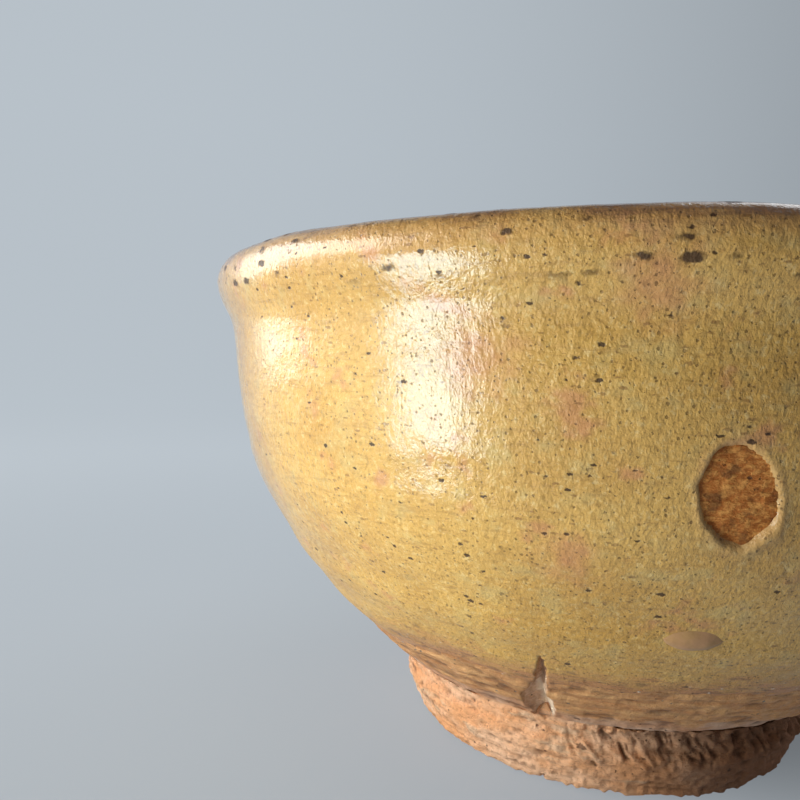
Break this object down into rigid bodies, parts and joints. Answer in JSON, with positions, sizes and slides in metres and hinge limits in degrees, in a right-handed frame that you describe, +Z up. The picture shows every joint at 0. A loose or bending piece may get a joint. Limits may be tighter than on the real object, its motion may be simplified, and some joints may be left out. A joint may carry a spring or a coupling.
{
  "type": "matcha bowl",
  "caption": "Wide hand-thrown tea bowl with a rolled lip, ochre glaze inside and out, a bare clay band and a tapered foot ring.",
  "frame": {"origin": "centre of the circle on which the foot ring rests, at the bottom of the bowl", "axes": "+Z up along the bowl's axis; the bare finger mark and the knife nick are on the -Y side"},
  "size_m": [0.13, 0.13, 0.0712],
  "materials": {
    "bare_clay": "matte, thinly scorched",
    "foot_clay": "matte, unglazed",
    "outer_glaze": "satin, fine orange peel",
    "inner_glaze": "satin",
    "glaze_drop": "smooth gloss"
  },
  "bodies": {
    "root": {"clay_body": "bare_clay", "foot_ring": "foot_clay", "outer_glaze": "outer_glaze", "inner_glaze": "inner_glaze", "glaze_drop": "glaze_drop"}
  },
  "joints": []
}
